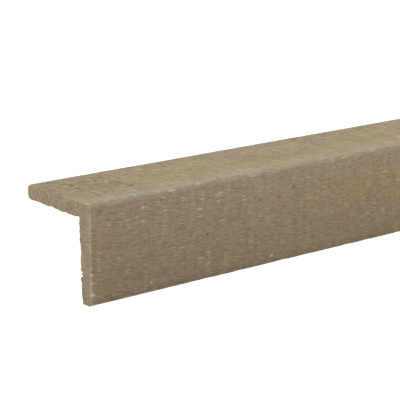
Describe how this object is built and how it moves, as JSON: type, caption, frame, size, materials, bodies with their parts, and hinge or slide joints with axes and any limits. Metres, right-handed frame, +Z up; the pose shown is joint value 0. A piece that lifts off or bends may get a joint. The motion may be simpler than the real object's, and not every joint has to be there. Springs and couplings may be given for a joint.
{
  "type": "corner guard moulding",
  "caption": "L-shaped length of rough-sawn, stained softwood moulding that covers and guards an outside corner.",
  "frame": {"origin": "on the floor, under the middle of the piece as it stands on the feet of its two legs", "axes": "+X along the length, away from the near end of the picture; +Y towards the back leg's foot; +Z up, through the outer arris"},
  "size_m": [1.2, 0.0628, 0.0351],
  "materials": {
    "stained_softwood": "rough-sawn, grey-brown stain, no gloss"
  },
  "bodies": {
    "root": {"corner_guard": "stained_softwood"}
  },
  "joints": []
}
